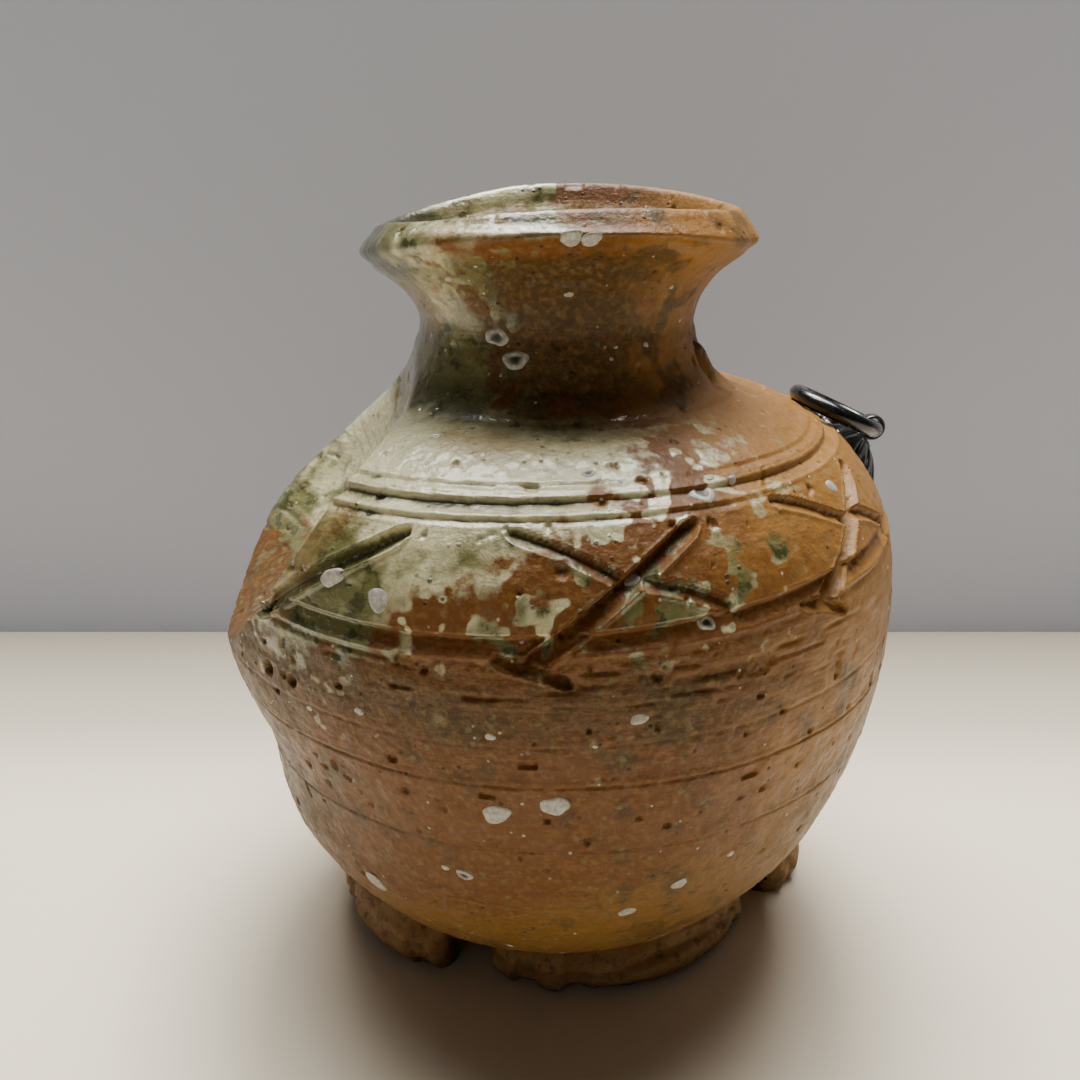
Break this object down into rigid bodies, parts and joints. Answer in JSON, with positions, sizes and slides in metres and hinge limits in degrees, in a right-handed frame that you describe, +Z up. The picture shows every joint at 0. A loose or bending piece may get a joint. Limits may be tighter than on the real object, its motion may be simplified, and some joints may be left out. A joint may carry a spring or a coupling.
{
  "type": "hanging flower vase",
  "caption": "Squat stoneware bottle vase with a flared mouth, a pushed-in shoulder, a carved lattice band, a lobed clay foot and an iron hanging ring on a rosette and split pin.",
  "frame": {"origin": "on the pot's axis in the plane of the table, at the centre of the pot's base", "axes": "+Z up along the pot's axis, -Y towards the viewer of the picture, +X towards the hanging ring"},
  "size_m": [0.122, 0.1218, 0.1345],
  "materials": {
    "fired_clay": "wood-fired orange-brown stoneware with green and cream natural ash glaze on the front-left shoulder",
    "ash_glazed_clay": "cream to olive ash glaze over orange clay, dark grey-green at the left of the lip",
    "foot_clay": "bare rough fired clay",
    "feldspar": "melted white feldspar, satin",
    "black_iron": "black lacquered iron",
    "ring_iron": "glossy black lacquered iron wire"
  },
  "bodies": {
    "pot": {"jar_body": "fired_clay", "neck_collar": "ash_glazed_clay", "foot_lobe_front": "foot_clay", "foot_lobe_left": "foot_clay", "foot_lobe_right": "foot_clay", "foot_lobe_back": "foot_clay", "feldspar_grains": "feldspar", "rosette": "black_iron", "split_pin": "black_iron"},
    "ring": {"hanging_ring": "ring_iron"}
  },
  "joints": [
    {"name": "ring_swing", "type": "hinge", "parent": "pot", "child": "ring", "pos_m": [0.05873, 0.00514, 0.09476], "axis": [-0.0768, 0.997, -0.014], "range_deg": [0, 236]}
  ]
}
